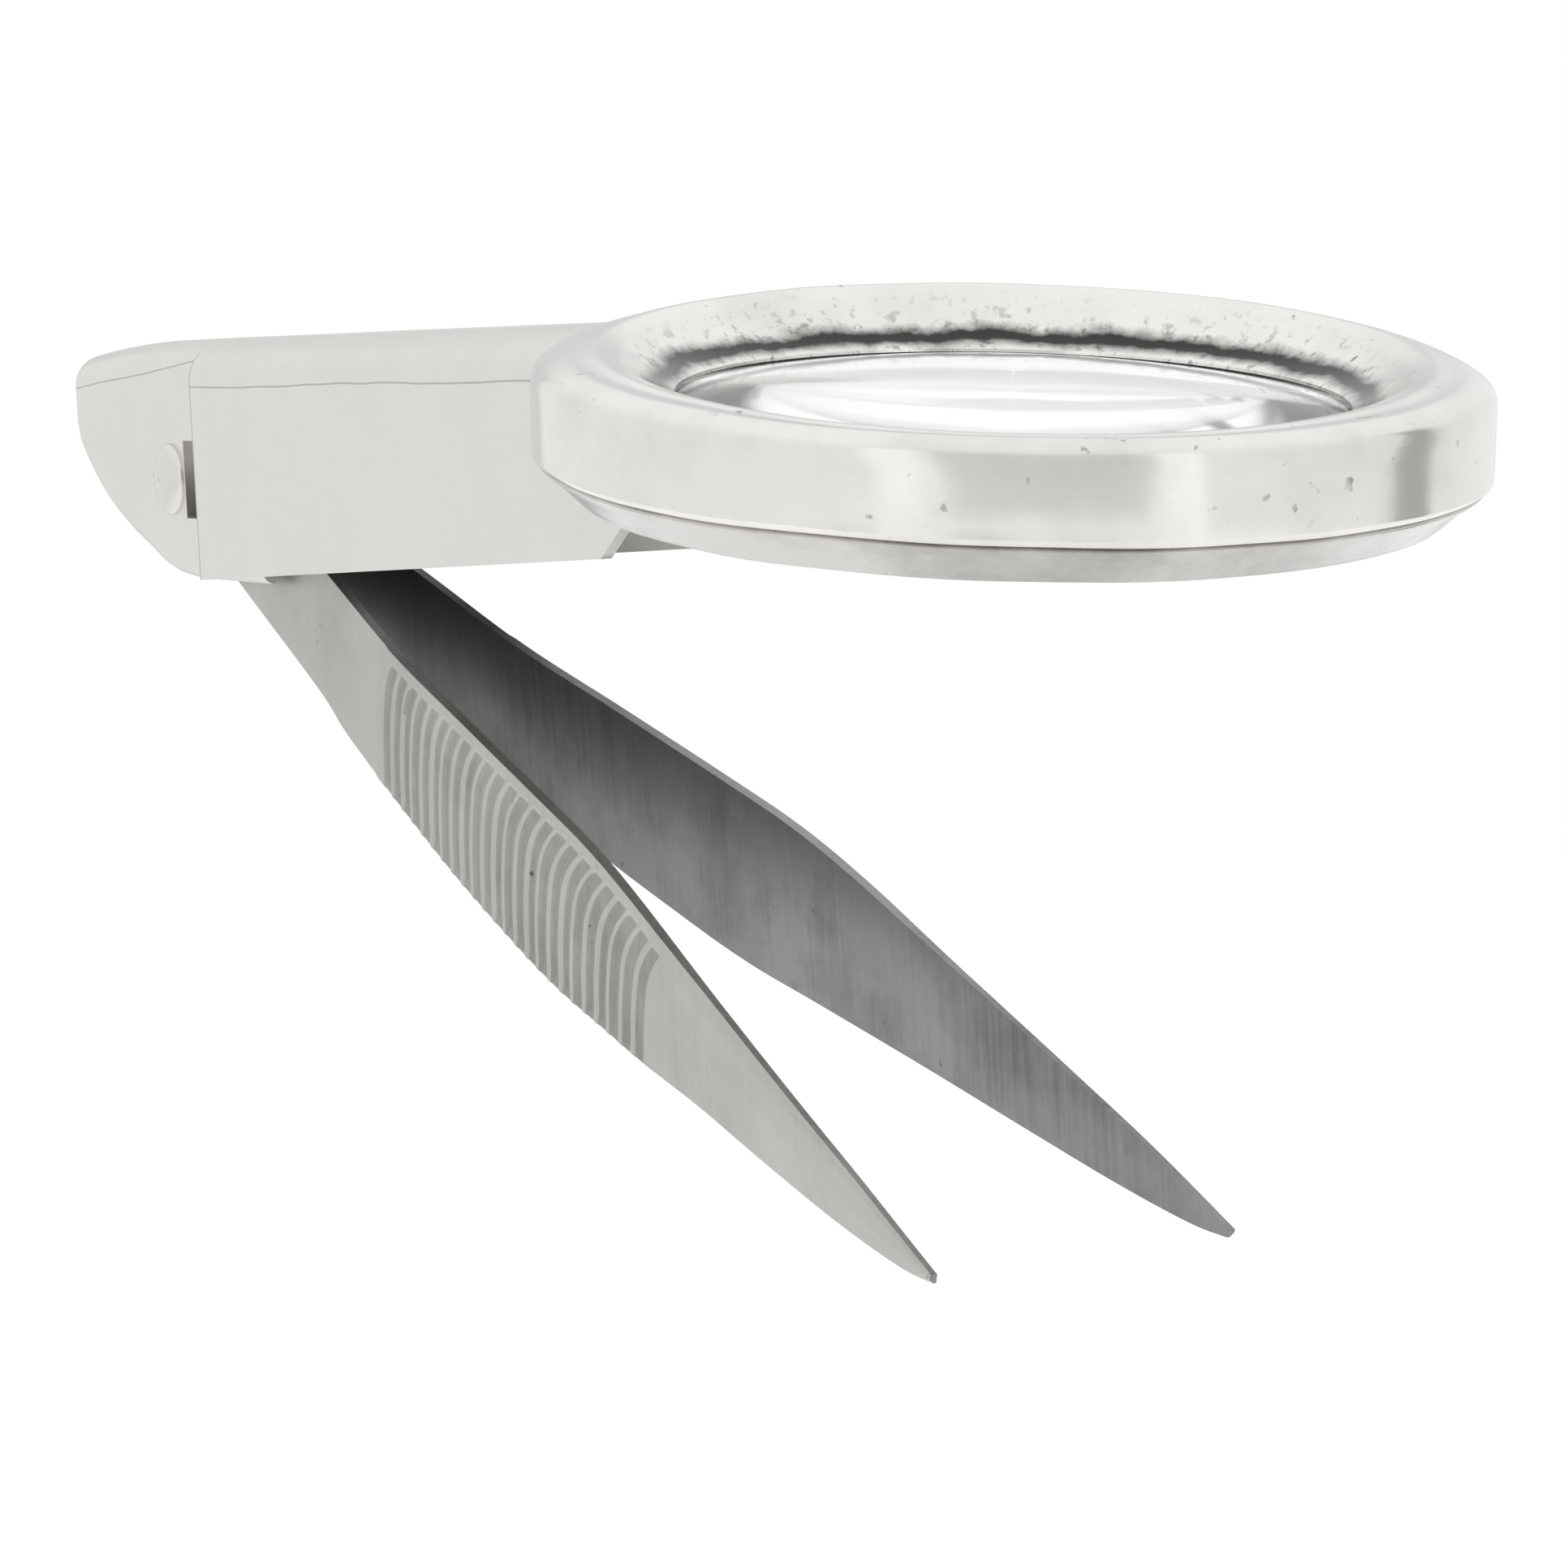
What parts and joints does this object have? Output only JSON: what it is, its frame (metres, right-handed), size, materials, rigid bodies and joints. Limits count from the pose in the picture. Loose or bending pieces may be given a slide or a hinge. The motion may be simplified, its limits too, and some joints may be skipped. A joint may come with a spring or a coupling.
{
  "type": "folding magnifier with tweezers",
  "caption": "Plated channel housing with a tilted round magnifying lens at one end and sprung tweezers that swing down from it, so that their tips meet under the lens.",
  "frame": {"origin": "middle of the housing's flat top face", "axes": "+X along the housing towards the lens ring, +Z out of the top face, +Y to the back arm's side"},
  "size_m": [0.1302, 0.04, 0.0411],
  "materials": {
    "nickel": "polished nickel plate, lightly worn",
    "blade_steel": "satin, brushed across the blade",
    "spring_steel": "drawn wire",
    "brass": "turned",
    "bronze": "stamped",
    "cushion": "matte card",
    "glass": "polished clear glass"
  },
  "bodies": {
    "housing": {"housing_shell": "nickel", "ring_bezel": "nickel", "ring_base": "nickel", "lens": "glass", "lens_split_ring": "spring_steel", "lens_shim": "cushion", "ring_bracket": "nickel", "pivot_rivet": "nickel", "bush_near": "brass", "bush_far": "brass", "friction_washer": "bronze"},
    "tweezers": {"heel_spacer": "blade_steel", "heel_rivets": "blade_steel", "front_heel": "blade_steel", "back_heel": "blade_steel"},
    "front_arm": {"front_arm": "blade_steel"},
    "back_arm": {"back_arm": "blade_steel"}
  },
  "joints": [
    {"name": "tweezers_fold", "type": "hinge", "parent": "housing", "child": "tweezers", "pos_m": [-0.0405, 0, -0.00805], "axis": [0, -1, 0], "range_deg": [0, 17.1]},
    {"name": "front_arm_squeeze", "type": "hinge", "parent": "tweezers", "child": "front_arm", "pos_m": [-0.0367, -0.001, -0.00931], "axis": [0.3156, 0, 0.9489], "range_deg": [0, 4.15], "stiffness_Nm_per_rad": 0.9},
    {"name": "back_arm_squeeze", "type": "hinge", "parent": "tweezers", "child": "back_arm", "pos_m": [-0.0367, 0.001, -0.00931], "axis": [0.3156, 0, 0.9489], "range_deg": [-4.15, 0], "stiffness_Nm_per_rad": 0.9}
  ],
  "couplings": [
    {"joint": "back_arm_squeeze", "follows": "front_arm_squeeze", "ratio": -1}
  ]
}
